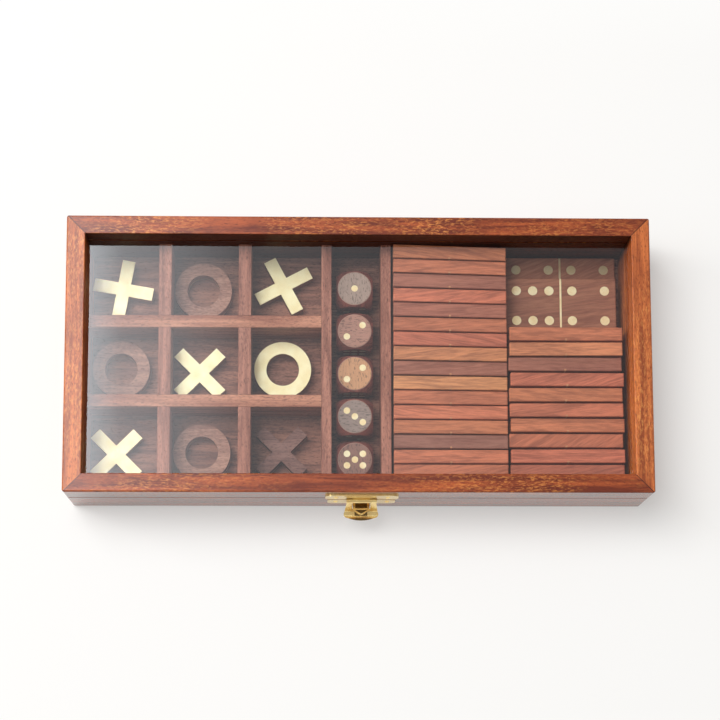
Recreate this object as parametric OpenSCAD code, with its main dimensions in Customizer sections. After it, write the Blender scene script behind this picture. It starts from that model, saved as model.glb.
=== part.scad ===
// Games compendium box: a mitred hardwood case with a hinged, glazed lid. Inside are a crossed
// grid for noughts and crosses, a slot of dice, and a bay of dominoes standing in two rows.
// The case is sized by what it holds. Origin at the centre of the underside, +X along the
// length, +Y to the back, +Z up, in millimetres.

/* [Dominoes] */
// Length of a domino
tile_w = 60; // [50:1:66]
// Width of a domino, its height when it stands on edge
tile_h = 30; // [28:0.5:34]
// Thickness of a domino
tile_t = 7.2; // [6:0.1:9]
// Rounding of a domino's long edges
tile_r = 0.6; // [0.2:0.1:1]
// Space between neighbouring dominoes in the full left row
tile_gap = 0.65; // [0.4:0.05:1.2]
// Space between neighbouring dominoes in the looser right row
loose_gap = 1; // [0.8:0.05:1.2]
// Turn of the rearmost domino of the left row, in degrees
row_turn = 1.7; // [0:0.1:2.5]
// Diameter of a domino's pips
tile_pip_d = 5; // [3:0.1:6]
// Pip spacing along a domino, from one column to the next
tile_pip_dx = 8.8; // [6:0.1:10]
// Pip offset across a domino, from its middle to a row
tile_pip_dy = 8.2; // [5:0.1:10]
// Width of the bar across the middle of a domino
bar_w = 1; // [0.6:0.1:2]
// Depth of every inlay
inlay_depth = 1; // [0.6:0.1:1.5]

/* [Dice] */
// Edge of the cube that a die is cut from
die_w = 19.5; // [16:0.5:22]
// Diameter of the flat circle on each side of a die
die_face_d = 17.3; // [15.5:0.1:19]
// Diameter of a die's pips
die_pip_d = 3.5; // [2.5:0.1:4]
// Pip offset along a die's face
die_pip_dx = 4.2; // [3.5:0.1:5]
// Pip offset across a die's face
die_pip_dy = 3.1; // [2.8:0.1:4]
// Space between neighbouring dice
die_gap = 3.7; // [1:0.1:5]
// Space between the front wall and the first die
die_front_gap = 2; // [0.5:0.1:5]

/* [Noughts and crosses] */
// Tip to tip length of a cross
cross_w = 32; // [28:0.5:34]
// Width of a cross's arms
arm_w = 6.8; // [5:0.1:9]
// Outer diameter of a nought
ring_d = 30.5; // [26:0.5:33]
// Diameter of the hole in a nought
ring_hole_d = 17.5; // [12:0.5:20]
// Thickness of the wooden body of a nought or cross
token_t = 7; // [5:0.5:10]
// Thickness of the brass sheet on one side of it
sheet_t = 1; // [0.6:0.1:1.5]

/* [Case] */
// Thickness of the walls and of the lid's frame
wall_t = 9.75; // [8:0.25:14]
// Thickness of the floor panel
floor_t = 3.8; // [3:0.1:6]
// Width of the rebate that the floor panel sits in
rebate_w = 4; // [3:0.5:6]
// Depth of the compartments
cell_depth = 26.5; // [22:0.5:28]
// Thickness of the two long rails of the grid
rail_t = 6.6; // [4:0.1:8]
// Thickness of the two crossing rails of the grid
cross_rail_t = 6.8; // [4:0.1:8]
// Thickness of the two dividers beside the dice
divider_t = 5.4; // [4:0.1:8]
// Room round a cross in the middle cell
token_play = 3.4; // [2:0.1:6]
// How much wider the outer cells are than the middle ones
side_extra = 1.7; // [0:0.1:4]
// How much deeper the middle row of cells is than the middle column is wide
mid_extra = 0.7; // [0:0.1:3]
// Room beside the dice in their slot
slot_play = 6.6; // [3:0.1:10]
// Room beside the two rows of dominoes in their bay
bay_play = 5.4; // [3:0.1:10]
// Rounding of the upright corners
corner_r = 1.5; // [0.5:0.1:3]
// Rounding of the long outer edges
edge_r = 0.8; // [0.3:0.1:1.5]
// Rounding of the rails' and dividers' top edges
rail_r = 0.5; // [0.2:0.1:1]

/* [Lid] */
// Thickness of the glass
glass_t = 2; // [1.5:0.1:4]
// Depth of the recess above the glass
recess_depth = 11.8; // [8:0.1:16]
// Headroom between the standing dominoes and the glass
headroom = 2.4; // [2.2:0.1:6]
// Depth of the groove that holds the glass
groove_d = 3; // [2:0.5:5]
// Least height of wood under the glass
glass_ledge = 3; // [2:0.5:6]

/* [Hinges] */
// Length of a hinge
hinge_w = 25; // [20:1:40]
// Height of a hinge leaf above or below the pin
leaf_h = 9; // [8:0.5:12]
// Thickness of a hinge leaf
leaf_t = 1; // [0.8:0.1:1.2]
// Outer radius of a hinge knuckle
knuckle_r = 2; // [1.9:0.1:2.6]
// Radius of a hinge pin
pin_r = 1; // [0.7:0.05:1.1]
// Distance from the end of the case to the middle of a hinge
hinge_inset = 52; // [30:1:90]

/* [Latch] */
// Distance of the latch to the right of the middle
latch_x = 1.4; // [-10:0.1:10]
// Width of the plate on the lid
latch_plate_w = 38; // [32:0.5:46]
// Width of the catch plate on the base
catch_w = 35.5; // [30:0.5:44]
// Height of both plates
latch_plate_h = 12; // [11:0.5:13]
// Rounding of both plates' corners
latch_plate_r = 3; // [0.5:0.5:4]
// Width of the flap at its knuckles
flap_top_w = 15.7; // [14:0.1:18]
// Width of the flap at its lip
flap_low_w = 18.3; // [16:0.1:20]
// Width of the opening between the flap's two arms
window_w = 9.4; // [8:0.1:10]
// How far the tongue stands out through that opening
tongue_l = 7.6; // [5:0.1:8]

/* [Fits] */
// Gap between turning or sliding metal faces
running_gap = 0.15; // [0.1:0.05:0.3]
// Radial clearance of a pin in its knuckles
pin_clear = 0.05; // [0.02:0.01:0.09]
// Clearance round an inlay, a nail or a lap joint
glue_clear = 0.02; // [0.01:0.01:0.05]
// Space kept between parts that pass each other
pass_gap = 0.3; // [0.3:0.05:0.5]

/* [Hidden] */
$fn = 64;
eps = 0.01;
over = 1;

// Widths, left to right
cell_w = cross_w + token_play;
side_cell_w = cell_w + side_extra;
grid_w = 2 * side_cell_w + cell_w + 2 * cross_rail_t;
slot_w = die_w + slot_play;
bay_w = 2 * tile_w + bay_play;
inner_w = grid_w + slot_w + bay_w + 2 * divider_t;
box_w = inner_w + 2 * wall_t;
grid_x0 = -inner_w / 2;
grid_mid = grid_x0 + grid_w / 2;
divider_left_x = grid_x0 + grid_w;
slot_mid = divider_left_x + divider_t + slot_w / 2;
divider_right_x = divider_left_x + divider_t + slot_w;
bay_x0 = divider_right_x + divider_t;

// Depths, front to back
row_count = 16;
loose_count = 10;
dice_count = 5;
turned_half = tile_t / 2 * cos(row_turn) + tile_w / 2 * sin(row_turn);
row_depth = (row_count - 0.5) * tile_t + (row_count - 1) * tile_gap + turned_half + 2 * pass_gap;
dice_depth = die_front_gap + dice_count * (die_w + die_gap);
mid_row_d = cell_w + mid_extra;
inner_d = max(row_depth, dice_depth, mid_row_d + 2 * side_cell_w + 2 * rail_t);
box_d = inner_d + 2 * wall_t;
outer_row_d = (inner_d - mid_row_d) / 2 - rail_t;
rail_y = (mid_row_d + rail_t) / 2;
cross_x = (cell_w + cross_rail_t) / 2;

// Heights
base_h = floor_t + cell_depth;
glass_z = max(floor_t + tile_h + headroom, base_h + glass_ledge);
lid_top = glass_z + glass_t + recess_depth;
lid_h = lid_top - base_h;

// Dominoes: the rows stand off the divider and each other, and the looser row has slipped about
row_side = 0.2 * bay_play;
row_slip = 0.1 * bay_play;
row_sway = 0.2;
front_tile_y = pass_gap + tile_t / 2 - inner_d / 2;
back_tile_y = inner_d / 2 - pass_gap - turned_half;
left_row_x = bay_x0 + row_side + tile_w / 2;
right_row_x = left_row_x + tile_w + row_side;
loose_back_y = front_tile_y + (loose_count - 1) * (tile_t + loose_gap) + tile_t / 2;
tile_z = floor_t + tile_h / 2;
flat_upper_gap = 0.5;
flat_lower_gap = 1.2;
flat_upper_x = right_row_x - 0.3;
flat_lower_x = right_row_x + 0.4;

// Dice: they stand a little to the left in their slot
dice_shift = 0.7;
dice_x = slot_mid - dice_shift;

// Hinges: the pins lie behind the back face, level with the joint between base and lid
hinge_y = box_d / 2 + pass_gap + knuckle_r;
hinge_x = box_w / 2 - hinge_inset;
knuckle_count = 5;
knuckle_w = hinge_w / knuckle_count;
pin_head_r = pin_r + 0.6;
pin_head_t = 0.6;
nail_r = 0.6;
nail_len = 6;
nail_head_r = 1.4;
nail_head_h = 0.6;
nail_end_gap = 4.5;
nail_edge_gap = 3;
hinge_nail_x = hinge_w / 2 - nail_end_gap;
hinge_nail_z = leaf_h - nail_edge_gap;

// Latch: distances are measured out from the front face and up or down from the pin
latch_r = 1.4;
latch_pin_r = 0.55;
latch_out = pass_gap + latch_r;
latch_pin_rise = 2.4;
latch_z = base_h + latch_pin_rise;
plate_t = 1;
plate_rise = 1.3;
latch_plate_z = base_h + plate_rise;
catch_top = base_h - 0.4;
catch_nail_z = catch_top - latch_plate_h / 2;
plate_nail_z = latch_plate_z + latch_plate_h / 2;
latch_nail_x = 13.5;
flap_t = 0.9;
flap_slope = 16;
flap_straight = 11.6;
lip_r = 2.8;
lip_turn = 116;
lip_corner = 1.8;
lip_edge_r = 19;
lip_sag = lip_edge_r - sqrt(pow(lip_edge_r, 2) - pow(flap_low_w / 2 - lip_corner, 2));
flap_reach = flap_straight * sin(flap_slope) + (lip_r + flap_t / 2) * cos(flap_slope)
    + (lip_r + flap_t) * sin(lip_turn + flap_slope - 90);
flap_drop = flap_straight + lip_r + 2 * flap_t;
tongue_t = 0.9;
tongue_tilt = 6;
tongue_point = 3;
tongue_rim = 0.8;
tongue_drop = 8.4;
tongue_low = tongue_drop + tongue_t - tongue_l * sin(tongue_tilt);
tongue_swing = norm([plate_t + tongue_l - latch_out, tongue_low]);
window_low = tongue_swing + pass_gap;

brass = [0.87, 0.74, 0.42];
sheesham = [0.62, 0.33, 0.18];
dark_wood = [0.42, 0.2, 0.12];
tile_wood = [0.56, 0.3, 0.22];
clear_glass = [0.8, 0.9, 0.92, 0.35];

// The noughts and crosses: column, row (0 at the front), share of the free play used to the
// right and to the back, and the turn of a cross in degrees
CROSS_BACK_LEFT = [0, 2, -0.95, -0.3, -10];
RING_BACK_MIDDLE = [1, 2, -0.85, -0.4, 0];
CROSS_BACK_RIGHT = [2, 2, -0.7, 0.45, 28];
RING_MIDDLE_LEFT = [0, 1, -0.8, -0.35, 0];
CROSS_MIDDLE = [1, 1, -0.95, -0.7, 45];
RING_MIDDLE_RIGHT = [2, 1, -0.7, -0.3, 0];
CROSS_FRONT_LEFT = [0, 0, -0.95, -0.6, 45];
RING_FRONT_MIDDLE = [1, 0, -0.95, -0.55, 0];
CROSS_FRONT_RIGHT = [2, 0, -0.6, -0.3, 45];

// The dice, from the back: the value that each shows
DICE = [1, 2, 2, 3, 5];

// A double-six set: two dominoes lie flat and the rest stand in the two rows
FLAT_UPPER = [6, 4];
FLAT_LOWER = [5, 4];
STANDING = [
    for (a = [0 : 6]) for (b = [0 : a])
        if ([a, b] != FLAT_UPPER && [a, b] != FLAT_LOWER) [a, b]
];

// What a rounding takes off a corner at the origin that opens towards +X and +Y
module corner_cut(r) {
    difference() {
        translate([-over, -over]) square(r + over);
        translate([r, r]) circle(r);
        translate([r, -2 * over]) square([r, r + 2 * over]);
        translate([-2 * over, r]) square([r + 2 * over, r]);
    }
}

module rounded_rect(w, h, r) {
    square([w - 2 * r, h], center = true);
    square([w, h - 2 * r], center = true);
    for (x = [-1, 1]) for (y = [-1, 1])
        translate([x * (w / 2 - r), y * (h / 2 - r)]) circle(r);
}

// Extrudes a section drawn as (inwards or across, up) along X, or along Y
module along_x(length) {
    rotate([90, 0, 90]) linear_extrude(length, center = true) children();
}

module along_y(length) {
    rotate([90, 0, 0]) linear_extrude(length, center = true) children();
}

// Section of a wall or lid member: outer face at 0, rounded along both outer edges
module member_section(h) {
    difference() {
        square([wall_t, h]);
        corner_cut(edge_r);
        translate([0, h]) mirror([0, 1]) corner_cut(edge_r);
    }
}

module base_section() {
    difference() {
        member_section(base_h);
        translate([wall_t - rebate_w, -over]) square([rebate_w + over, floor_t + over]);
    }
}

module lid_section() {
    difference() {
        member_section(lid_h);
        translate([wall_t - groove_d, glass_z - base_h])
            square([groove_d + over, glass_t + running_gap]);
        translate([wall_t, lid_h]) mirror([1, 0]) mirror([0, 1]) corner_cut(rail_r);
    }
}

// Plan of the frame's front and left members, mitred, with the case's rounded corners
module front_plan() {
    intersection() {
        rounded_rect(box_w, box_d, corner_r);
        polygon([
            [-box_w / 2, -box_d / 2], [box_w / 2, -box_d / 2],
            [box_w / 2 - wall_t, wall_t - box_d / 2], [wall_t - box_w / 2, wall_t - box_d / 2]
        ]);
    }
}

module left_plan() {
    intersection() {
        rounded_rect(box_w, box_d, corner_r);
        polygon([
            [-box_w / 2, -box_d / 2], [wall_t - box_w / 2, wall_t - box_d / 2],
            [wall_t - box_w / 2, box_d / 2 - wall_t], [-box_w / 2, box_d / 2]
        ]);
    }
}

module front_member(h) {
    intersection() {
        translate([0, -box_d / 2, 0]) along_x(box_w) children();
        linear_extrude(h) front_plan();
    }
}

module left_member(h) {
    intersection() {
        translate([-box_w / 2, 0, 0]) along_y(box_d) children();
        linear_extrude(h) left_plan();
    }
}

// A round-headed nail with its head's seat at the origin, driven towards -Z
module nail() {
    cap_r = (pow(nail_head_r, 2) + pow(nail_head_h, 2)) / (2 * nail_head_h);
    translate([0, 0, -nail_len]) cylinder(r = nail_r, h = nail_len + nail_head_h / 2);
    intersection() {
        translate([0, 0, nail_head_h - cap_r]) sphere(cap_r);
        cylinder(r = nail_head_r + over, h = nail_head_h + over);
    }
}

module nail_hole() {
    translate([0, 0, -nail_len - glue_clear])
        cylinder(r = nail_r + glue_clear, h = nail_len + over);
}

// Places the children on the outside of the hinge leaves, above (1) or below (-1) the pin
module at_hinge_nails(side) {
    for (hinge = [-1, 1]) for (end = [-1, 1])
        translate([hinge * hinge_x + end * hinge_nail_x, box_d / 2 + leaf_t,
            base_h + side * hinge_nail_z])
            rotate([-90, 0, 0]) children();
}

module at_latch_nails(z) {
    for (end = [-1, 1])
        translate([latch_x + end * latch_nail_x, -box_d / 2 - plate_t, z])
            rotate([90, 0, 0]) children();
}

module front_wall() {
    color(sheesham) difference() {
        front_member(base_h) base_section();
        at_latch_nails(catch_nail_z) nail_hole();
    }
}

module back_wall() {
    color(sheesham) difference() {
        mirror([0, 1, 0]) front_member(base_h) base_section();
        at_hinge_nails(-1) nail_hole();
    }
}

module left_wall() {
    color(sheesham) left_member(base_h) base_section();
}

module right_wall() {
    color(sheesham) mirror([1, 0, 0]) left_member(base_h) base_section();
}

module floor_panel() {
    w = inner_w + 2 * (rebate_w - glue_clear);
    d = inner_d + 2 * (rebate_w - glue_clear);
    color(dark_wood) translate([-w / 2, -d / 2, 0]) cube([w, d, floor_t]);
}

// A board standing on the floor, with its two top edges rounded
module board_section(t) {
    difference() {
        translate([-t / 2, 0]) square([t, cell_depth]);
        for (side = [0, 1])
            mirror([side, 0]) translate([-t / 2, cell_depth]) mirror([0, 1]) corner_cut(rail_r);
    }
}

// A long rail, notched from below to drop over the two crossing rails
module grid_rail(y) {
    color(sheesham) translate([grid_mid, y, floor_t]) difference() {
        along_x(grid_w) board_section(rail_t);
        for (x = [-cross_x, cross_x])
            translate([x - cross_rail_t / 2 - glue_clear, -rail_t / 2 - over, -over])
                cube([cross_rail_t + 2 * glue_clear, rail_t + 2 * over, cell_depth / 2 + over]);
    }
}

// A crossing rail, notched from above to take the two long rails
module grid_cross(x) {
    notch_d = cell_depth / 2;
    color(sheesham) translate([grid_mid + x, 0, floor_t]) difference() {
        along_y(inner_d) board_section(cross_rail_t);
        for (y = [-rail_y, rail_y])
            translate([-cross_rail_t / 2 - over, y - rail_t / 2 - glue_clear, notch_d])
                cube([cross_rail_t + 2 * over, rail_t + 2 * glue_clear, notch_d + over]);
    }
}

module dice_divider(x) {
    color(sheesham) translate([x + divider_t / 2, 0, floor_t])
        along_y(inner_d) board_section(divider_t);
}

module lid_front_rail() {
    color(sheesham) difference() {
        translate([0, 0, base_h]) front_member(lid_h) lid_section();
        at_latch_nails(plate_nail_z) nail_hole();
    }
}

module lid_back_rail() {
    color(sheesham) difference() {
        translate([0, 0, base_h]) mirror([0, 1, 0]) front_member(lid_h) lid_section();
        at_hinge_nails(1) nail_hole();
    }
}

module lid_left_stile() {
    color(sheesham) translate([0, 0, base_h]) left_member(lid_h) lid_section();
}

module lid_right_stile() {
    color(sheesham) translate([0, 0, base_h]) mirror([1, 0, 0]) left_member(lid_h) lid_section();
}

module lid_glass() {
    w = inner_w + 2 * (groove_d - running_gap);
    d = inner_d + 2 * (groove_d - running_gap);
    color(clear_glass) translate([-w / 2, -d / 2, glass_z]) cube([w, d, glass_t]);
}

// One leaf of each hinge with its knuckles: the base's (side -1) are the even ones and the
// lid's (side 1) the odd ones
module hinge_leaves(side) {
    wall = -(pass_gap + knuckle_r);
    clear = knuckle_r + pass_gap;
    color(brass) for (hinge = [-1, 1])
        difference() {
            translate([hinge * hinge_x, hinge_y, base_h]) difference() {
                union() {
                    translate([-hinge_w / 2, wall, side > 0 ? clear : -leaf_h])
                        cube([hinge_w, leaf_t, leaf_h - clear]);
                    for (k = [(side + 1) / 2 : 2 : knuckle_count - 1])
                        translate([-hinge_w / 2 + k * knuckle_w + running_gap / 2, 0, 0]) {
                            rotate([0, 90, 0])
                                cylinder(r = knuckle_r, h = knuckle_w - running_gap);
                            translate([0, wall, side > 0 ? 0 : -clear - over])
                                cube([knuckle_w - running_gap, leaf_t, clear + over]);
                        }
                }
                translate([-hinge_w / 2 - over, 0, 0]) rotate([0, 90, 0])
                    cylinder(r = pin_r + pin_clear, h = hinge_w + 2 * over);
            }
            at_hinge_nails(side) nail_hole();
        }
}

// A pin through each hinge, with a small head at both ends
module hinge_pins() {
    color(brass) for (hinge = [-1, 1])
        translate([hinge * hinge_x, hinge_y, base_h]) rotate([0, 90, 0]) {
            cylinder(r = pin_r, h = hinge_w + 2 * pin_clear + pin_head_t, center = true);
            for (end = [0, 1])
                mirror([0, 0, end]) translate([0, 0, hinge_w / 2 + pin_clear])
                    cylinder(r = pin_head_r, h = pin_head_t);
        }
}

module base_nails() {
    color(brass) {
        at_hinge_nails(-1) nail();
        at_latch_nails(catch_nail_z) nail();
    }
}

module lid_nails() {
    color(brass) {
        at_hinge_nails(1) nail();
        at_latch_nails(plate_nail_z) nail();
    }
}

// Places the children at the latch's pin: X across, Y outwards from the front, Z up
module at_latch_pin() {
    translate([latch_x, -box_d / 2 - latch_out, latch_z]) mirror([0, 1, 0]) children();
}

// A plate against the front face, its corners rounded
module front_plate(w, z) {
    translate([latch_x, -box_d / 2, z + latch_plate_h / 2]) rotate([90, 0, 0])
        linear_extrude(plate_t) rounded_rect(w, latch_plate_h, latch_plate_r);
}

// The plate on the lid, cut away for the flap's knuckles, with its own knuckle in the middle
module latch_hinge_plate() {
    notch_w = flap_top_w + 2 * pass_gap;
    tab_w = window_w - 2 * running_gap;
    color(brass) difference() {
        union() {
            difference() {
                front_plate(latch_plate_w, latch_plate_z);
                at_latch_pin() translate([-notch_w / 2, -latch_out - over, -latch_plate_h])
                    cube([notch_w, plate_t + 2 * over, latch_plate_h + latch_r + pass_gap]);
            }
            at_latch_pin() {
                translate([-tab_w / 2, 0, 0]) rotate([0, 90, 0]) cylinder(r = latch_r, h = tab_w);
                translate([-tab_w / 2, -latch_out, 0])
                    cube([tab_w, plate_t, latch_r + pass_gap + over]);
            }
        }
        at_latch_pin() rotate([0, 90, 0])
            cylinder(r = latch_pin_r + pin_clear, h = flap_top_w, center = true);
        at_latch_nails(plate_nail_z) nail_hole();
    }
}

module latch_pin() {
    color(brass) at_latch_pin() rotate([0, 90, 0])
        cylinder(r = latch_pin_r, h = flap_top_w, center = true);
}

// Side view of the flap, drawn as (outwards, up) from the pin: a knuckle, a sloping leg, and a
// lip that curls out
module flap_section() {
    circle(latch_r);
    rotate(flap_slope) {
        translate([-flap_t / 2, -flap_straight]) square([flap_t, flap_straight]);
        translate([lip_r + flap_t / 2, -flap_straight])
            rotate(180) sector(lip_turn) difference() {
                circle(lip_r + flap_t);
                circle(lip_r);
            }
    }
}

// The part of a flat shape that lies between +X and an angle of up to 180 degrees
module sector(angle) {
    far = 4 * lip_r;
    intersection() {
        children();
        translate([-far, 0]) square([2 * far, far]);
        rotate(angle - 180) translate([-far, 0]) square([2 * far, far]);
    }
}

// Plan of the flap from its pin outwards: past the knuckles it widens to a lip with round corners
// and a slightly bowed edge
module flap_plan() {
    corner_x = flap_low_w / 2 - lip_corner;
    translate([-flap_top_w / 2, -latch_r]) square([flap_top_w, 2 * latch_r]);
    hull() {
        translate([-flap_top_w / 2, latch_r - eps]) square([flap_top_w, eps]);
        for (side = [-1, 1])
            translate([side * corner_x, flap_reach - lip_sag - lip_corner])
                circle(lip_corner, $fn = 32);
        intersection() {
            translate([0, flap_reach - lip_edge_r]) circle(lip_edge_r, $fn = 128);
            translate([-corner_x, 0]) square([2 * corner_x, flap_reach]);
        }
    }
}

// The swinging flap: two arms that pass either side of the tongue, and a lip curled upwards
module latch_flap() {
    color(brass) at_latch_pin() difference() {
        intersection() {
            along_x(flap_low_w + over) flap_section();
            translate([0, 0, -flap_drop]) linear_extrude(flap_drop + 2 * latch_r) flap_plan();
        }
        translate([-window_w / 2, -latch_out, -window_low])
            cube([window_w, flap_reach, window_low + latch_out]);
        rotate([0, 90, 0])
            cylinder(r = latch_pin_r + pin_clear, h = flap_low_w + over, center = true);
    }
}

// The plate on the base, with a pointed tongue that stands out between the flap's arms
module latch_catch_plate() {
    tongue_w = window_w - 2 * pass_gap;
    shoulder = tongue_l - tongue_point;
    color(brass) difference() {
        union() {
            front_plate(catch_w, catch_top - latch_plate_h);
            translate([latch_x, -box_d / 2 - plate_t + eps, latch_z - tongue_drop - tongue_t])
                mirror([0, 1, 0]) rotate([tongue_tilt, 0, 0]) linear_extrude(tongue_t)
                difference() {
                    polygon([
                        [-tongue_w / 2, -eps], [tongue_w / 2, -eps], [tongue_w / 2, shoulder],
                        [0, tongue_l], [-tongue_w / 2, shoulder]
                    ]);
                    polygon([
                        [tongue_rim - tongue_w / 2, shoulder],
                        [tongue_w / 2 - tongue_rim, shoulder], [0, tongue_l - tongue_rim]
                    ]);
                }
        }
        at_latch_nails(catch_nail_z) nail_hole();
    }
}

// Half the room that a cross takes each way when it is turned
function cross_half(turn) =
    let (c = abs(cos(turn)), s = abs(sin(turn)))
    cross_w / 2 * max(c, s) + arm_w / 2 * min(c, s);

// Middle of a column or a row of cells, and the room in it
function column_x(c) = grid_mid + (c - 1) * ((cell_w + side_cell_w) / 2 + cross_rail_t);
function row_y(r) = (r - 1) * ((mid_row_d + outer_row_d) / 2 + rail_t);
function column_w(c) = c == 1 ? cell_w : side_cell_w;
function row_d(r) = r == 1 ? mid_row_d : outer_row_d;

module place_token(token, half) {
    play_x = column_w(token[0]) / 2 - half - pass_gap;
    play_y = row_d(token[1]) / 2 - half - pass_gap;
    translate([
        column_x(token[0]) + token[2] * play_x, row_y(token[1]) + token[3] * play_y, floor_t
    ])
        rotate(token[4]) children();
}

// The wooden or brass layer of a token: the brass is on top, or underneath
module wood_layer(brass_up) {
    color(dark_wood) translate([0, 0, brass_up ? 0 : sheet_t]) linear_extrude(token_t) children();
}

module brass_layer(brass_up) {
    color(brass) translate([0, 0, brass_up ? token_t : 0]) linear_extrude(sheet_t) children();
}

module cross_shape() {
    square([cross_w, arm_w], center = true);
    square([arm_w, cross_w], center = true);
}

module ring_shape() {
    difference() {
        circle(d = ring_d);
        circle(d = ring_hole_d);
    }
}

module cross_wood(token, brass_up) {
    place_token(token, cross_half(token[4])) wood_layer(brass_up) cross_shape();
}

module cross_brass(token, brass_up) {
    place_token(token, cross_half(token[4])) brass_layer(brass_up) cross_shape();
}

module ring_wood(token, brass_up) {
    place_token(token, ring_d / 2) wood_layer(brass_up) ring_shape();
}

module ring_brass(token, brass_up) {
    place_token(token, ring_d / 2) brass_layer(brass_up) ring_shape();
}

// Where a value's pips lie, in steps from the middle
CORNERS = [[-1, -1], [-1, 1], [1, -1], [1, 1]];
SPOTS = [
    [],
    [[0, 0]],
    [[-1, -1], [1, 1]],
    [[-1, 1], [0, 0], [1, -1]],
    CORNERS,
    concat(CORNERS, [[0, 0]]),
    concat(CORNERS, [[0, -1], [0, 1]])
];

// The turn that brings each value's side to the top, and the one that carries it there
UPRIGHT = [
    [0, 0, 0], [0, 0, 0], [-90, 0, 0], [0, -90, 0], [0, 90, 0], [90, 0, 0], [180, 0, 0]
];

module place_die(number) {
    y = die_front_gap + (dice_count - number) * (die_w + die_gap) + die_w / 2 - inner_d / 2;
    translate([dice_x, y, floor_t + die_w / 2]) rotate(UPRIGHT[DICE[number - 1]]) children();
}

// Opposite sides add up to seven. Each pip is grown by the clearance to cut its pocket.
module die_pip_set(grow, proud) {
    for (value = [1 : 6]) rotate(-UPRIGHT[value])
        for (spot = SPOTS[value])
            translate([spot[0] * die_pip_dx, spot[1] * die_pip_dy, die_w / 2 - inlay_depth - grow])
                cylinder(d = die_pip_d + 2 * grow, h = inlay_depth + grow + proud);
}

module die(number) {
    ball_r = sqrt(pow(die_w / 2, 2) + pow(die_face_d / 2, 2));
    color(dark_wood) place_die(number) difference() {
        intersection() {
            cube(die_w, center = true);
            sphere(ball_r);
        }
        die_pip_set(glue_clear, over);
    }
}

module die_pips(number) {
    color(brass) place_die(number) die_pip_set(0, 0);
}

// A standing domino centred on the origin, its face towards -Y, with every edge eased
module tile_blank() {
    intersection() {
        along_x(tile_w) rounded_rect(tile_t, tile_h, tile_r);
        along_y(tile_t) rounded_rect(tile_w, tile_h, tile_r);
        linear_extrude(tile_h, center = true) rounded_rect(tile_w, tile_t, tile_r);
    }
}

module tile_pip_set(values, grow, proud) {
    for (half = [0, 1]) for (spot = SPOTS[values[half]])
        translate([
            (half - 0.5) * tile_w / 2 + spot[0] * tile_pip_dx, -tile_t / 2 - proud,
            spot[1] * tile_pip_dy
        ])
            rotate([-90, 0, 0])
                cylinder(d = tile_pip_d + 2 * grow, h = inlay_depth + grow + proud);
}

module tile_bar(grow, proud) {
    translate([-bar_w / 2 - grow, -tile_t / 2 - proud, -tile_h / 2 - proud])
        cube([bar_w + 2 * grow, inlay_depth + grow + proud, tile_h + 2 * proud]);
}

module tile_wood(values) {
    difference() {
        tile_blank();
        tile_pip_set(values, glue_clear, over);
        tile_bar(glue_clear, over);
    }
}

module tile_inlays(values) {
    tile_pip_set(values, 0, 0);
    intersection() {
        tile_blank();
        tile_bar(0, 0);
    }
}

// The full row: each domino is turned a little more than the one in front of it
module place_left_tile(i) {
    step = i / (row_count - 1);
    translate([left_row_x, front_tile_y + step * (back_tile_y - front_tile_y), tile_z])
        rotate(-row_turn * step) children();
}

// The looser row: each domino has slipped a little along its neighbours
module place_right_tile(i) {
    x = right_row_x + row_slip * sin(137 * i);
    translate([x, front_tile_y + i * (tile_t + loose_gap), tile_z])
        rotate(row_sway * sin(101 * i)) children();
}

// The two that lie face up: the upper one rests on the lower and against the right row
module place_flat_tile(upper) {
    x = upper ? flat_upper_x : flat_lower_x;
    y = upper ? loose_back_y + flat_upper_gap + tile_h / 2
        : inner_d / 2 - flat_lower_gap - tile_h / 2;
    z = floor_t + tile_t / 2 + (upper ? tile_t + glue_clear : 0);
    translate([x, y, z]) rotate([-90, 0, 0]) children();
}

module dominoes_left() {
    color(tile_wood) for (i = [0 : row_count - 1])
        place_left_tile(i) tile_wood(STANDING[i]);
}

module dominoes_left_inlays() {
    color(brass) for (i = [0 : row_count - 1])
        place_left_tile(i) tile_inlays(STANDING[i]);
}

module dominoes_right() {
    color(tile_wood) for (i = [0 : loose_count - 1])
        place_right_tile(i) tile_wood(STANDING[row_count + i]);
}

module dominoes_right_inlays() {
    color(brass) for (i = [0 : loose_count - 1])
        place_right_tile(i) tile_inlays(STANDING[row_count + i]);
}

module dominoes_flat() {
    color(tile_wood) {
        place_flat_tile(false) tile_wood(FLAT_LOWER);
        place_flat_tile(true) tile_wood(FLAT_UPPER);
    }
}

module dominoes_flat_inlays() {
    color(brass) {
        place_flat_tile(false) tile_inlays(FLAT_LOWER);
        place_flat_tile(true) tile_inlays(FLAT_UPPER);
    }
}

front_wall();
back_wall();
left_wall();
right_wall();
floor_panel();
grid_rail(-rail_y);  // grid_rail_front
grid_rail(rail_y);  // grid_rail_back
grid_cross(-cross_x);  // grid_cross_left
grid_cross(cross_x);  // grid_cross_right
dice_divider(divider_left_x);  // dice_divider_left
dice_divider(divider_right_x);  // dice_divider_right
lid_front_rail();
lid_back_rail();
lid_left_stile();
lid_right_stile();
lid_glass();
hinge_leaves(-1);  // hinge_base_leaves
hinge_leaves(1);  // hinge_lid_leaves
hinge_pins();
base_nails();
lid_nails();
latch_hinge_plate();
latch_pin();
latch_flap();
latch_catch_plate();
cross_wood(CROSS_BACK_LEFT, true);  // cross_back_left
cross_brass(CROSS_BACK_LEFT, true);  // cross_back_left_brass
ring_wood(RING_BACK_MIDDLE, false);  // ring_back_middle
ring_brass(RING_BACK_MIDDLE, false);  // ring_back_middle_brass
cross_wood(CROSS_BACK_RIGHT, true);  // cross_back_right
cross_brass(CROSS_BACK_RIGHT, true);  // cross_back_right_brass
ring_wood(RING_MIDDLE_LEFT, false);  // ring_middle_left
ring_brass(RING_MIDDLE_LEFT, false);  // ring_middle_left_brass
cross_wood(CROSS_MIDDLE, true);  // cross_middle
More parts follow.
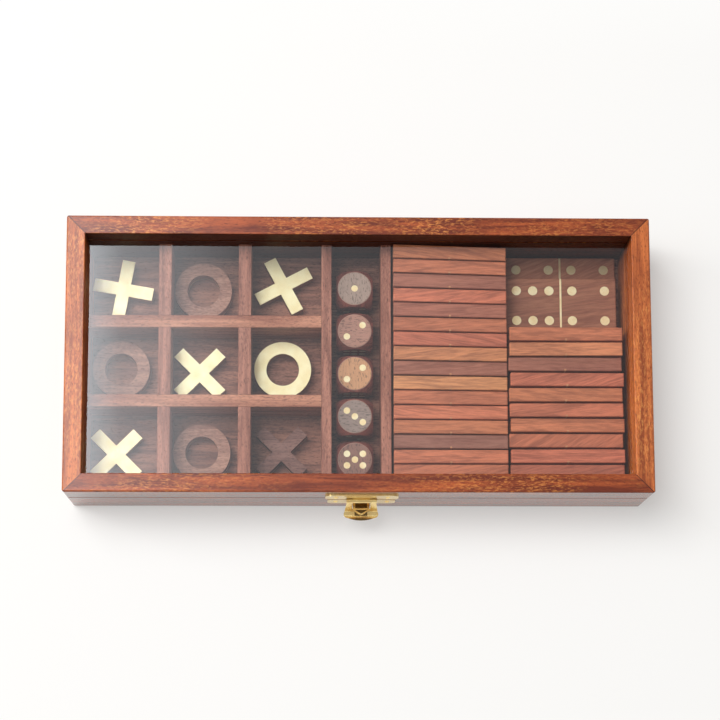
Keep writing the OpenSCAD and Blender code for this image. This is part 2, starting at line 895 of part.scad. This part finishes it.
cross_brass(CROSS_MIDDLE, true);  // cross_middle_brass
ring_wood(RING_MIDDLE_RIGHT, true);  // ring_middle_right
ring_brass(RING_MIDDLE_RIGHT, true);  // ring_middle_right_brass
cross_wood(CROSS_FRONT_LEFT, true);  // cross_front_left
cross_brass(CROSS_FRONT_LEFT, true);  // cross_front_left_brass
ring_wood(RING_FRONT_MIDDLE, false);  // ring_front_middle
ring_brass(RING_FRONT_MIDDLE, false);  // ring_front_middle_brass
cross_wood(CROSS_FRONT_RIGHT, false);  // cross_front_right
cross_brass(CROSS_FRONT_RIGHT, false);  // cross_front_right_brass
die(1);  // die_1
die_pips(1);  // die_1_pips
die(2);  // die_2
die_pips(2);  // die_2_pips
die(3);  // die_3
die_pips(3);  // die_3_pips
die(4);  // die_4
die_pips(4);  // die_4_pips
die(5);  // die_5
die_pips(5);  // die_5_pips
dominoes_left();
dominoes_left_inlays();
dominoes_right();
dominoes_right_inlays();
dominoes_flat();
dominoes_flat_inlays();
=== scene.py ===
import math

import bpy
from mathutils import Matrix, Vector


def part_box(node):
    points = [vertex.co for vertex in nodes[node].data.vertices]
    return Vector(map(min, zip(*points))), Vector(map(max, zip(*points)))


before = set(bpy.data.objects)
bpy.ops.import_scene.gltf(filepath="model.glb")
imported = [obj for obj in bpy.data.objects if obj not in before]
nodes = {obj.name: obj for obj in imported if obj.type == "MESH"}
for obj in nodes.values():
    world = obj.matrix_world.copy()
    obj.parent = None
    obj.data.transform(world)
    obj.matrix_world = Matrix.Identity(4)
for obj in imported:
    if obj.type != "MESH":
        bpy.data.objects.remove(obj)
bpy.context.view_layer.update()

# The camera. It hangs about a metre over the box and a little in front of it, so that the view is
# straight down and the front face and its latch just show at the lower edge of the case.
camera = bpy.data.objects.new("camera", bpy.data.cameras.new("camera"))
camera.data.sensor_width = 36
camera.data.lens = 99.176
camera.data.shift_y = 0.2
camera.location = (-0.02764, -0.22676, 1.0554)
camera.rotation_euler = [math.radians(angle) for angle in (8.3562, -1.5602, -0.1316)]
bpy.context.scene.collection.objects.link(camera)
bpy.context.scene.camera = camera
bpy.context.scene.view_settings.view_transform = "Standard"


# The table. A plain matt white sheet, much larger than the box. It keeps the box's shadow, and
# glows for the camera and for gloss, so that it stays nearly white. The glow paints the shadow
# lighter: a little next to the box, more just in front of and behind it, and fully farther off.
def linear(red, green, blue):
    """A colour read off, from 0 to 255, as the linear value that a shader takes."""
    value = []
    for part in (red / 255, green / 255, blue / 255):
        value.append(((part + 0.055) / 1.055) ** 2.4 if part > 0.04 else part / 12.92)
    return (*value, 1)


class Wire:
    """A value running through a finish. Sums written with it add the Math nodes they need."""

    def __init__(self, finish, socket):
        self.finish = finish
        self.socket = socket

    def math(self, operation, *values):
        return self.finish.node("ShaderNodeMath", {"operation": operation}, dict(enumerate(values)))

    def __add__(self, other):
        return self.math("ADD", self, other)

    def __radd__(self, other):
        return self.math("ADD", other, self)

    def __sub__(self, other):
        return self.math("SUBTRACT", self, other)

    def __rsub__(self, other):
        return self.math("SUBTRACT", other, self)

    def __mul__(self, other):
        return self.math("MULTIPLY", self, other)

    def __rmul__(self, other):
        return self.math("MULTIPLY", other, self)

    def __truediv__(self, other):
        return self.math("DIVIDE", self, other)

    def __abs__(self):
        return self.math("ABSOLUTE", self)

    def floor(self):
        return self.math("FLOOR", self)

    def above(self, level):
        return self.math("GREATER_THAN", self, level)

    def least(self, other):
        return self.math("MINIMUM", self, other)

    def most(self, other):
        return self.math("MAXIMUM", self, other)


class Finish:
    """One material and the nodes in it."""

    def __init__(self, name):
        self.material = bpy.data.materials.new(name)
        self.material.use_nodes = True
        self.tree = self.material.node_tree
        self.tree.nodes.clear()

    def node(self, kind, settings=None, values=None, output=0):
        """Adds a node: its settings first, then the number or wire of each socket named."""
        made = self.tree.nodes.new(kind)
        for setting, value in (settings or {}).items():
            setattr(made, setting, value)
        for socket, value in (values or {}).items():
            if isinstance(value, Wire):
                self.tree.links.new(value.socket, made.inputs[socket])
            else:
                made.inputs[socket].default_value = value
        return Wire(self, made.outputs[output])

    def blend(self, factor, first, second):
        """Goes from one colour to another as the factor goes from 0 to 1."""
        values = {0: factor, 6: first, 7: second}
        return self.node("ShaderNodeMix", {"data_type": "RGBA"}, values, 2)

    def spread(self, value, low, high, to_low=0.0, to_high=1.0):
        """Takes a value from one span to another, and stops it at the ends."""
        ends = {"Value": value, 1: low, 2: high, 3: to_low, 4: to_high}
        return self.node("ShaderNodeMapRange", {"clamp": True}, ends)

    def place(self, shift=(0, 0, 0), turn=(0, 0, 0), scale=(1, 1, 1)):
        """Where a point is on the object, moved, turned and stretched for a pattern."""
        point = self.node("ShaderNodeTexCoord", output=3)
        values = {"Vector": point, "Location": shift, "Rotation": turn, "Scale": scale}
        return self.node("ShaderNodeMapping", {}, values)

    def axes(self):
        """Where a point is along X, Y and Z."""
        point = self.place()
        return [self.node("ShaderNodeSeparateXYZ", {}, {"Vector": point}, axis)
                for axis in range(3)]

    def noise(self, place, scale, detail=3.0, rough=0.5, warp=0.0):
        values = {"Vector": place, "Scale": scale, "Detail": detail, "Roughness": rough,
                  "Distortion": warp}
        return self.node("ShaderNodeTexNoise", {}, values)

    def bump(self, height, distance, strength=1.0):
        values = {"Height": height, "Distance": distance, "Strength": strength}
        return self.node("ShaderNodeBump", {}, values)

    def surface(self, **values):
        """Ends the finish in a Principled shader, whose sockets are named with underscores."""
        sockets = {socket.replace("_", " "): value for socket, value in values.items()}
        return self.end(self.node("ShaderNodeBsdfPrincipled", {}, sockets))

    def end(self, shader, kind="ShaderNodeOutputMaterial"):
        output = self.tree.nodes.new(kind)
        self.tree.links.new(shader.socket, output.inputs["Surface"])
        return self.material


def paint(names, material):
    for name in names.split():
        nodes[name].data.materials.clear()
        nodes[name].data.materials.append(material)


table_size = 8.0
table_drop = 0.0002
near_share = 0.38
lightened_shadow_share = 0.6
bpy.ops.object.select_all(action="DESELECT")
bpy.ops.mesh.primitive_plane_add(size=table_size, location=(0, 0, -table_drop))
table = bpy.context.object
table.name = "table"
sheet = Finish("matt_white_sheet")
seen = sheet.node("ShaderNodeLightPath", output=0) + sheet.node("ShaderNodeLightPath", output=3)
own = sheet.node("ShaderNodeBsdfDiffuse", {}, {"Color": linear(240, 239, 237)})
glow = sheet.node("ShaderNodeEmission", {}, {"Color": linear(255, 255, 254), "Strength": 1.0})
to_side, to_front = [abs(part) for part in sheet.axes()[:2]]
share = sheet.spread(to_side.most(to_front + 0.03), 0.163, 0.3, near_share, 1.0)
# Painted light: the glow is stronger just in front of and behind the box, which paints its shadow
# there lighter.
share = share.most(sheet.spread(to_front, 0.06, 0.1, near_share, lightened_shadow_share))
sheet_mix = sheet.node("ShaderNodeMixShader", {}, {0: seen * share, 1: own, 2: glow})
table.data.materials.append(sheet.end(sheet_mix))

# The light. One soft lamp hangs high to the left and behind, a weaker one stands low at the left,
# and the room is pale all round. A broad bright panel overhead shows only in the glass and the
# polished brass, strongest to the left, where it veils the contents.
def soft_lamp(name, place, width, depth, power):
    lamp = bpy.data.lights.new(name, "AREA")
    lamp.shape = "RECTANGLE"
    lamp.size = width
    lamp.size_y = depth
    lamp.energy = power
    holder = bpy.data.objects.new(name, lamp)
    holder.location = place
    holder.rotation_euler = (-Vector(place)).to_track_quat("-Z", "Y").to_euler()
    holder.visible_glossy = False
    bpy.context.scene.collection.objects.link(holder)


soft_lamp("high_lamp", (-0.8, 0.5, 2.3), 1.1, 1.6, 51)
soft_lamp("side_lamp", (-1.6, 0.3, 0.9), 0.8, 0.8, 13)

class Room(Finish):
    """The nodes of the world itself."""

    def __init__(self, world):
        self.material = None
        self.tree = world.node_tree
        self.tree.nodes.clear()


world = bpy.data.worlds.new("pale_room")
bpy.context.scene.world = world
world.use_nodes = True
room = Room(world)
for_camera = room.node("ShaderNodeLightPath", output=0)
for_gloss = room.node("ShaderNodeLightPath", output=3)
for_glass = room.node("ShaderNodeLightPath", output=6)
room_strength = 0.24 + 0.76 * for_camera + 0.26 * for_gloss + 0.76 * for_glass
room_tint = room.blend(for_camera, linear(255, 247, 238), (1, 1, 1, 1))
room_light = {"Color": room_tint, "Strength": room_strength}
room.end(room.node("ShaderNodeBackground", {}, room_light), "ShaderNodeOutputWorld")

panel_width = 1.4
panel_depth = 1.1
panel_back = 0.4
panel_z = 1.2
bpy.ops.object.select_all(action="DESELECT")
bpy.ops.mesh.primitive_plane_add(size=1, location=(0, 0, 0))
panel = bpy.context.object
panel.name = "overhead_panel"
panel.data.transform(panel.matrix_world)
for corner in panel.data.vertices:
    corner.co.x = corner.co.x * panel_width
    corner.co.y = corner.co.y * panel_depth + panel_back
    corner.co.z = panel_z
bright = Finish("overhead_glow")
across = bright.axes()[0]
window = bright.spread(across, -0.31, -0.09, 2.9, 0.0)
ceiling = bright.spread(across, -0.2, 0.2, 1.2, 0.42)
window_edge = bright.spread(across, -0.275, -0.235, 2.2, 0.0) * bright.spread(across, -0.36, -0.33)
fall = window + ceiling + window_edge
panel_light = {"Color": linear(246, 250, 255), "Strength": fall}
panel.data.materials.append(bright.end(bright.node("ShaderNodeEmission", {}, panel_light)))
panel.visible_camera = False
panel.visible_diffuse = False
panel.visible_shadow = False
panel.visible_transmission = False


# The case. Four walls below and four frame members above, of oiled sheesham, an orange-brown
# rosewood with short dark pores. They are mitred at the corners and glued.
def sawn_wood(wood, along, shift, pale, middle, deep, flecks):
    """Sheesham whose grain runs along an axis, 0 for X and 1 for Y: its colour and its relief."""
    stretch = [1.0, 1.0, 1.0]
    stretch[along] = 0.07
    grain = wood.place(shift, scale=stretch)
    bands = wood.noise(grain, scale=170, detail=3.0, rough=0.55, warp=1.5)
    fibre = wood.noise(grain, scale=1100, detail=3.0, rough=0.6, warp=0.5)
    stretch[along] = 0.3
    short = wood.place(shift, scale=stretch)
    speck = wood.noise(short, scale=1350, detail=2.0, rough=0.55, warp=0.6)
    pores = wood.spread(wood.noise(short, scale=1700, detail=1.0, rough=0.4), 0.6, 0.7)
    broad = wood.place(shift, scale=[0.5 * part + 0.5 for part in stretch])
    patch = wood.noise(broad, scale=26, detail=2.0)
    body = wood.blend(wood.spread(0.75 * bands + 0.25 * fibre, 0.38, 0.6), middle, deep)
    fleck = wood.spread(speck, 0.5, 0.66) * wood.spread(patch, 0.4, 0.62)
    body = wood.blend(fleck * flecks, body, pale)
    dark = wood.spread(speck, 0.46, 0.34) * 0.35 + pores * 0.5
    body = wood.blend(dark, body, wood.blend(0.6, deep, linear(40, 16, 8)))
    return body, fibre * 0.5 - pores


def case_wood(name, along, shift, pale, middle, deep, flecks):
    """The oiled case. Dirt has darkened its mitres, and painted shade darkens the joint between the
    base and the lid and the inner face of the lid frame's back member.
    """
    wood = Finish("case_wood_" + name)
    body, relief = sawn_wood(wood, along, shift, pale, middle, deep, flecks)
    x, y, z = wood.axes()
    from_end = case_half_w - abs(x)
    from_side = case_half_d - abs(y)
    off_mitre = abs(from_end - from_side)
    off_split = (abs(z - split_z) * 0.7).most(from_end.least(from_side))
    # Dark lines at the mitres, which are dirt, and along the joint between the base and the lid,
    # which is painted shade where the lid's edge shades it.
    mitre_dirt_and_joint_shade = wood.spread(off_mitre.least(off_split), 0.0001, 0.00045, 0.8, 0.0)
    body = wood.blend(mitre_dirt_and_joint_shade, body, linear(46, 20, 12))
    inward = wood.spread(abs(y), inner_half_d, inner_half_d + 0.0003, 1.0, 0.0)
    inward = inward * wood.spread(abs(x), inner_half_w, inner_half_w + 0.0003, 1.0, 0.0)
    # Painted shade: the inner face of the lid frame's back member is darkened, as the lamps stand
    # behind it.
    shade = inward * wood.spread(y, inner_half_d - 0.004, inner_half_d - 0.001, 0.0, 0.75)
    body = wood.blend(shade, body, linear(40, 18, 12))
    return wood.surface(
        Base_Color=body,
        Roughness=wood.spread(relief, -0.3, 0.4, 0.6, 0.45),
        Specular_IOR_Level=0.15,
        Normal=wood.bump(relief, 0.00012, 0.5),
        Coat_Weight=(1 - inward) * 0.95,
        Coat_Roughness=0.16,
    )


case_half_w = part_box("front_wall")[1].x
case_half_d = -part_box("front_wall")[0].y
split_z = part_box("front_wall")[1].z
skin = 0.00005
inner_half_d = -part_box("lid_front_rail")[1].y + skin
inner_half_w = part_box("lid_right_stile")[0].x + skin
for order, name in enumerate(("front_wall", "back_wall", "lid_front_rail", "lid_back_rail")):
    paint(name, case_wood(name, 0, (0.7 * order, 0.31 * order, 0), linear(220, 140, 68),
                          linear(172, 82, 38), linear(108, 40, 15), 0.35 + 0.15 * order))
for order, name in enumerate(("left_wall", "right_wall", "lid_left_stile", "lid_right_stile")):
    paint(name, case_wood(name, 1, (0.5 * order, 0.9 + order, 0), linear(246, 174, 94),
                          linear(206, 114, 58), linear(144, 68, 32), 0.4))

# The floor. A thin panel of a browner wood than the case. It is sanded and left without oil, and
# is glued into a rebate cut in the lower edges of the four walls.
def dull_wood(name, along, shift, pale, middle, deep, flecks=0.3):
    """Bare sanded wood, which hardly shines."""
    wood = Finish(name)
    body, relief = sawn_wood(wood, along, shift, pale, middle, deep, flecks)
    return wood.surface(
        Base_Color=body,
        Roughness=wood.spread(relief, -0.3, 0.4, 0.72, 0.55),
        Normal=wood.bump(relief, 0.0001, 0.4),
    )


paint("floor_panel", dull_wood("floor_wood", 0, (0.2, 3.1, 0), linear(190, 134, 110),
                               linear(158, 106, 86), linear(108, 66, 54)))

# The rails and dividers. Thin sawn boards of the same wood as the case, sanded and left dull.
# The grid's four are half lapped where they cross, and all are glued between the walls.
for order, name in enumerate(("grid_rail_front", "grid_rail_back")):
    paint(name, dull_wood("divider_wood_" + name, 0, (1.3 * order, 5.2, 0), linear(224, 164, 136),
                          linear(200, 136, 108), linear(150, 88, 66)))
for order, name in enumerate(("grid_cross_left", "grid_cross_right", "dice_divider_left",
                              "dice_divider_right")):
    paint(name, dull_wood("divider_wood_" + name, 1, (6.1, 1.7 * order, 0), linear(208, 148, 126),
                          linear(182, 120, 100), linear(132, 78, 62)))

# The glass. One plain clear pane, 2 mm thick, slid into a groove of the lid's frame. The side
# that is looked at mirrors as much as both faces of a real pane do, and lets the rest through.
pane = Finish("clear_glass")
one_face = pane.node("ShaderNodeFresnel", {}, {"IOR": 1.5})
leaving = pane.node("ShaderNodeNewGeometry", output=6)
mirror = (1 - leaving) * (2 * one_face / (1 + one_face))
clear = pane.node("ShaderNodeBsdfTransparent", {}, {"Color": (0.985, 0.995, 0.99, 1)})
gloss = pane.node("ShaderNodeBsdfGlossy", {}, {"Color": (1, 1, 1, 1), "Roughness": 0.03})
paint("lid_glass", pane.end(pane.node("ShaderNodeMixShader", {}, {0: mirror, 1: clear, 2: gloss})))


# The hinges and the latch. Two butt hinges at the back and a sprung latch at the front, pressed
# from sheet brass, polished, a little dulled by handling, and nailed to the wood.
def brass_finish(name, bright_colour, dull_colour, roughness, metallic, brush=0.0, painted_shade=None):
    """Brass. The last argument, where given, is a function of x, y and z that is 1 where painted
    shade darkens the brass.
    """
    metal = Finish(name)
    cloud = metal.noise(metal.place(), scale=160, detail=3.0, rough=0.55)
    colour = metal.blend(metal.spread(cloud, 0.35, 0.7), bright_colour, dull_colour)
    # Painted shade: a dark brown brass wherever that function says.
    if painted_shade:
        colour = metal.blend(painted_shade(*metal.axes()) * 0.9, colour, linear(96, 68, 22))
    brushed = metal.place(turn=(0, 0, 0.5), scale=(1, 0.06, 1))
    fine = metal.noise(brushed, scale=2600, detail=2.0)
    return metal.surface(
        Base_Color=colour,
        Metallic=metallic,
        Roughness=metal.spread(cloud, 0.3, 0.7, roughness * 0.92, roughness * 1.08),
        Normal=metal.bump(fine, 0.00002, brush),
    )


latch_middle = (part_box("latch_flap")[0].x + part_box("latch_flap")[1].x) / 2
flap_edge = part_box("latch_flap")[0].y
lip_shade = 0.0011
arm_from = 0.0025
arm_half_gap = 0.0034
tongue_root = 0.0058
tongue_half = 0.0031
plate_thickness = 0.001
plate_face = -case_half_d - plate_thickness - 0.00002


# Painted shade on the latch: the brass between the flap's arms and along its lower lip is darkened.
def flap_shade(x, y, z):
    between_arms = (arm_half_gap - abs(x - latch_middle)).above(0)
    between_arms = between_arms * (y - (flap_edge + arm_from)).above(0)
    return between_arms.most((flap_edge + lip_shade - y).above(0))


# Painted shade on the catch: its tongue, out past the face of the plate, is darkened.
def catch_shade(x, y, z):
    on_tongue = (tongue_half - abs(x - latch_middle)).above(0)
    on_tongue = on_tongue * (y - (flap_edge + tongue_root)).above(0)
    return on_tongue * (plate_face - y).above(0)


polished = (linear(255, 232, 166), linear(242, 200, 124), 0.24, 0.8)
hardware = brass_finish("hardware_brass", *polished)
paint("hinge_base_leaves hinge_lid_leaves hinge_pins base_nails lid_nails", hardware)
paint("latch_hinge_plate latch_pin", hardware)
paint("latch_flap", brass_finish("flap_brass", *polished, painted_shade=flap_shade))
paint("latch_catch_plate", brass_finish("catch_brass", *polished, painted_shade=catch_shade))

# The noughts and crosses. Sawn from a dark board and left dull, each with a sheet of brass glued
# to one side. Some lie with the brass up and some with it down.
sheet_brass = brass_finish("sheet_brass", linear(255, 241, 196), linear(250, 230, 176), 0.42, 0.5,
                           brush=0.12)
tokens = ("cross_back_left", "ring_back_middle", "cross_back_right", "ring_middle_left",
          "cross_middle", "ring_middle_right", "cross_front_left", "ring_front_middle",
          "cross_front_right")
for order, name in enumerate(tokens):
    woods = [linear(212, 168, 146), linear(184, 136, 116), linear(144, 98, 84)]
    if name == "cross_front_right":
        woods = [linear(166, 126, 116), linear(144, 104, 94), linear(104, 68, 60)]
    paint(name, dull_wood("token_wood_" + name, 0, (order * 0.61, 2.2, 0), *woods))
    paint(name + "_brass", sheet_brass)

# The dice. Rosewood cubes cut down to a ball at the corners, with brass pips let in. Their faces
# show more grain than the turned corners, and each is of another shade.
die_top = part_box("die_1")[1].z
rim_highlight_depth = 0.0004
face_skin = 0.0001
pip_depth = 0.001


def dice_wood(number, face):
    wood = Finish(f"dice_wood_{number}")
    body, relief = sawn_wood(wood, number % 2, (number * 0.77, 4.4, 0), linear(186, 112, 92),
                             linear(150, 82, 70), linear(104, 50, 42), 0.3)
    height = wood.axes()[2]
    shadowed = linear(*[0.72 * part for part in face])
    grained = wood.blend(wood.spread(relief, -0.2, 0.35), shadowed, linear(*face))
    # A painted highlight: a pale band just under the top face, where the turned corners meet it.
    body = wood.blend(height.above(die_top - rim_highlight_depth), body, linear(190, 150, 138))
    body = wood.blend(height.above(die_top - face_skin), body, grained)
    return wood.surface(
        Base_Color=body,
        Roughness=0.6,
        Normal=wood.bump(relief, 0.0001, 0.4),
    )


# Painted shade: the pips on the dice's sides, below the top face, are darkened.
def side_pip_shade(x, y, z):
    return (1 - z.above(die_top - pip_depth)) * 0.5


dice_faces = [(176, 150, 138), (184, 134, 118), (214, 158, 118), (160, 138, 130), (150, 110, 98)]
inlay_brass = brass_finish("inlay_brass", linear(255, 240, 200), linear(246, 214, 156), 0.4, 0.35,
                           painted_shade=side_pip_shade)
for number, face in enumerate(dice_faces, 1):
    paint(f"die_{number}", dice_wood(number, face))
    paint(f"die_{number}_pips", inlay_brass)


# The dominoes. Reddish sheesham, each from another piece of the board, with brass pips and a
# brass bar let into the face. Each has a rank, counted from the front of its row, which picks
# its shade: the left row's start at 0, the right row's at 43 and the flat ones' at 60.
right_first = 43
flat_first = 60
palest_ranks = (6,)
golden_ranks = (8, right_first + 8)
dusky_ranks = (2, 7, 11, 13, right_first + 7)


def is_one_of(rank, ranks):
    found = 0
    for one in ranks:
        found = found + (1 - abs(rank - one).above(0.5))
    return found


def domino_wood(name, rank_of):
    wood = Finish(name)
    x, y, z = wood.axes()
    rank = rank_of(x, y, z)
    drawn = wood.node("ShaderNodeTexWhiteNoise", {"noise_dimensions": "1D"}, {"W": rank}, 1)
    pick, slant, other = [wood.node("ShaderNodeSeparateColor", {}, {"Color": drawn}, part)
                          for part in range(3)]
    slant = slant - 0.5
    slope = slant * slant * slant * 5.0
    values = {"X": x * 0.1 + rank * 1.7, "Y": y + x * slope, "Z": z * 0.3}
    grain = wood.node("ShaderNodeCombineXYZ", {}, values)
    bands = wood.noise(grain, scale=260, detail=4.0, rough=0.6, warp=1.2)
    fibre = wood.noise(grain, scale=1500, detail=2.0, rough=0.6)
    red = wood.blend(pick, linear(218, 124, 94), linear(184, 104, 80))
    red = wood.blend(other * 0.6, red, linear(208, 132, 86))
    golden = is_one_of(rank, golden_ranks) * 0.4 + is_one_of(rank, palest_ranks) * 0.75
    pale = wood.blend(golden, red, linear(230, 160, 106))
    dusky = is_one_of(rank, dusky_ranks) * (0.6 + 0.4 * other)
    pale = wood.blend(dusky, pale, linear(156, 104, 88))
    pale = wood.blend(rank.above(flat_first - 1), pale, linear(160, 104, 80))
    deep = wood.blend(0.55, pale, linear(96, 44, 32))
    body = wood.blend(wood.spread(0.65 * bands + 0.35 * fibre, 0.4, 0.6), pale, deep)
    return wood.surface(
        Base_Color=body,
        Roughness=wood.spread(fibre, 0.3, 0.7, 0.5, 0.66),
        Normal=wood.bump(fibre, 0.0001, 0.4),
    )


left_low, left_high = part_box("dominoes_left")
right_low, right_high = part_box("dominoes_right")
flat_low, flat_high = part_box("dominoes_flat")
flat_middle = (flat_low.z + flat_high.z) / 2
tile_thickness = 0.0072
tile_half_length = 0.03
left_count = 16
right_count = 10
left_turn = math.radians(1.7)
left_front = left_low.y + tile_thickness / 2
left_back = left_high.y - tile_thickness / 2 - tile_half_length * math.sin(left_turn)
left_middle = (left_low.x + left_high.x) / 2
left_pitch = (left_back - left_front) / (left_count - 1)
right_front = right_low.y + tile_thickness / 2
right_pitch = (right_high.y - right_low.y - tile_thickness) / (right_count - 1)


def left_rank(x, y, z):
    turn = (y - left_front) * (left_turn / (left_back - left_front))
    straight = y + (x - left_middle) * turn
    return ((straight - left_front) / left_pitch + 0.5).floor()


def right_rank(x, y, z):
    return ((y - right_front) / right_pitch + 0.5).floor() + right_first


def flat_rank(x, y, z):
    return z.above(flat_middle) + flat_first


paint("dominoes_left", domino_wood("domino_wood_left", left_rank))
paint("dominoes_right", domino_wood("domino_wood_right", right_rank))
paint("dominoes_flat", domino_wood("domino_wood_flat", flat_rank))
paint("dominoes_left_inlays dominoes_right_inlays",
      brass_finish("edge_brass", linear(206, 150, 110), linear(186, 128, 92), 0.5, 0.3))


# Painted shade: the pips of the lower of the two flat dominoes are darkened.
def lower_tile_shade(x, y, z):
    return (1 - z.above(flat_middle)) * 0.55


paint("dominoes_flat_inlays",
      brass_finish("flat_brass", linear(255, 238, 196), linear(244, 214, 160), 0.4, 0.35,
                   painted_shade=lower_tile_shade))
